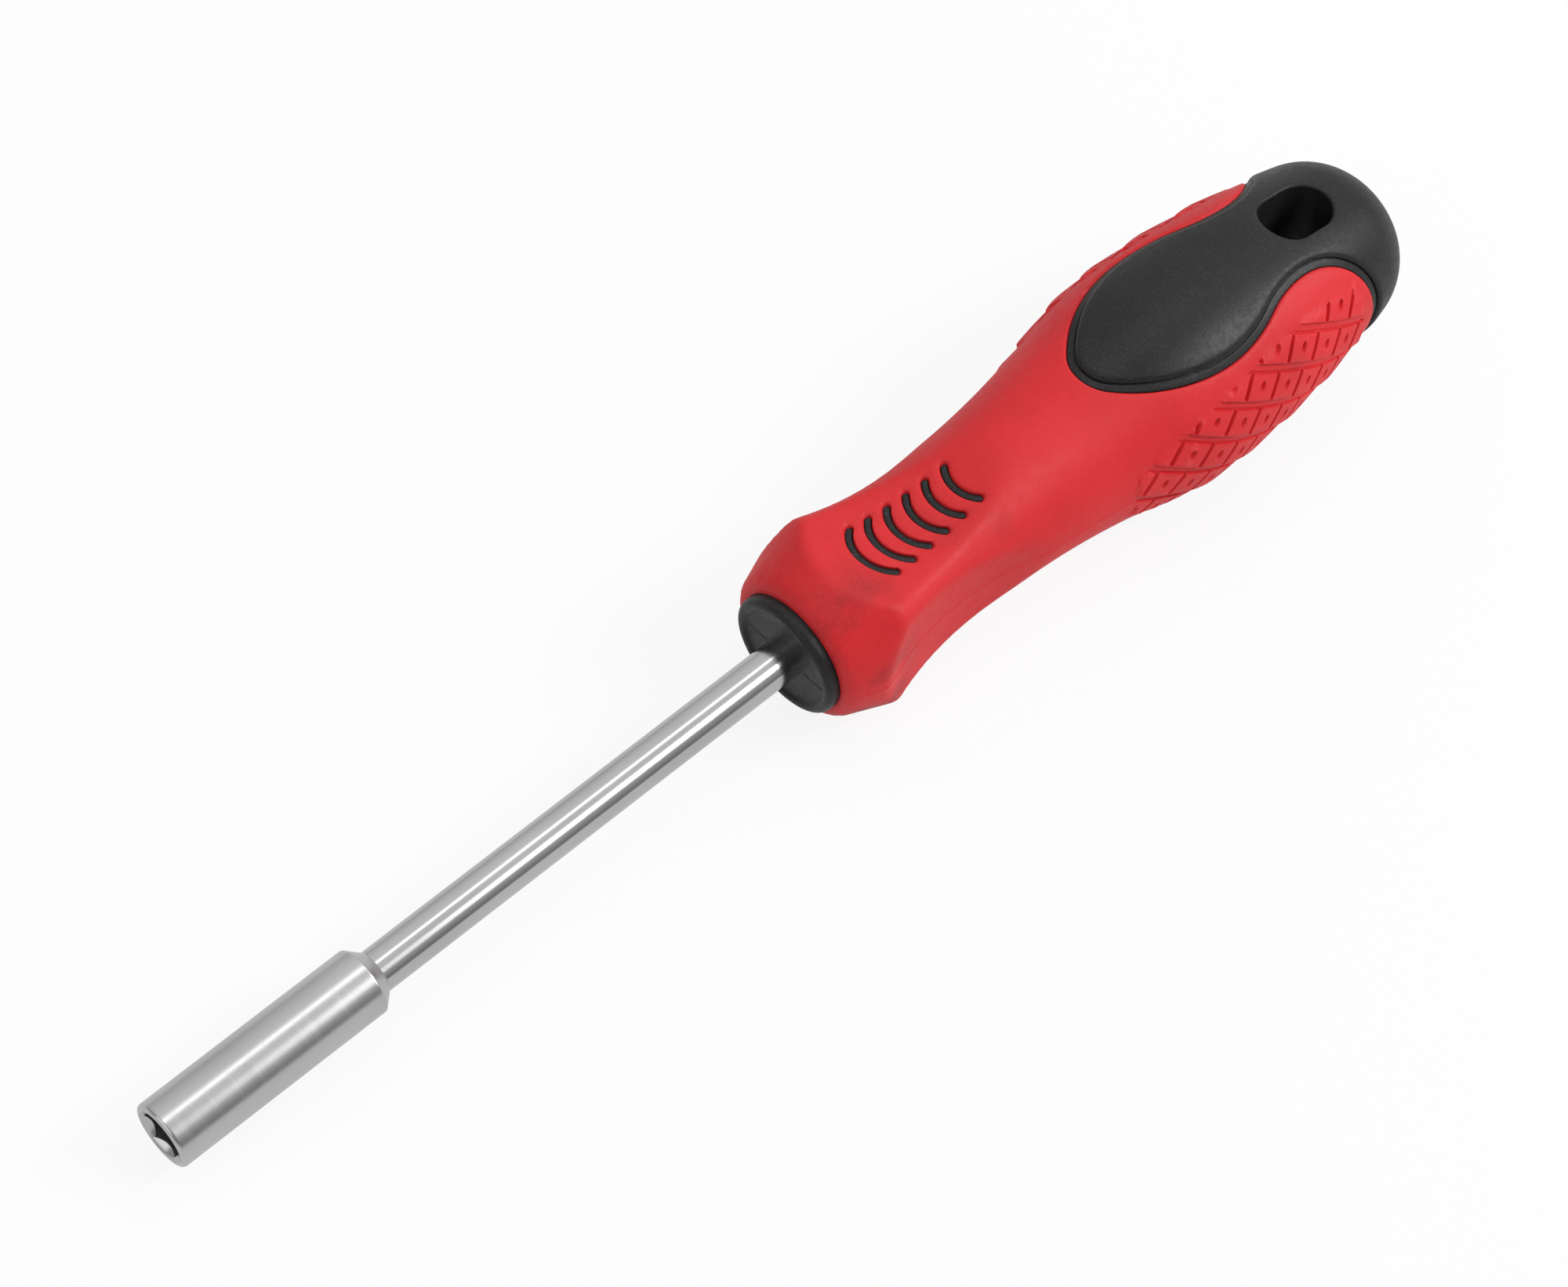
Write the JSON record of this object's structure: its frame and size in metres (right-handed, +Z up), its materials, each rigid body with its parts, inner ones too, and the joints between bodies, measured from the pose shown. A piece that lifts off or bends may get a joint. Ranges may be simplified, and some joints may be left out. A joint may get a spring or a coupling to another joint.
{
  "type": "bit holder screwdriver",
  "caption": "Bit holder screwdriver: slim round steel blade with a magnetic hexagon socket for bits, and a contoured hard core handle with a soft grip and a hanging hole.",
  "frame": {"origin": "centre of the hexagon socket's mouth, on the blade's axis", "axes": "+X along the axis from the socket to the handle's end, +Z up through the middle of a black panel and along the hanging hole, +Y across"},
  "size_m": [0.217, 0.0336, 0.0336],
  "materials": {
    "bar_steel": "satin plated, drawn bar",
    "socket_steel": "satin plated, turned",
    "magnet_metal": "dull plated",
    "core_plastic": "fine moulded grain",
    "grip_rubber": "soft matte"
  },
  "bodies": {
    "root": {"shaft": "bar_steel", "bit_socket": "socket_steel", "socket_magnet": "magnet_metal", "handle_core": "core_plastic", "grip_sleeve": "grip_rubber"}
  },
  "joints": []
}
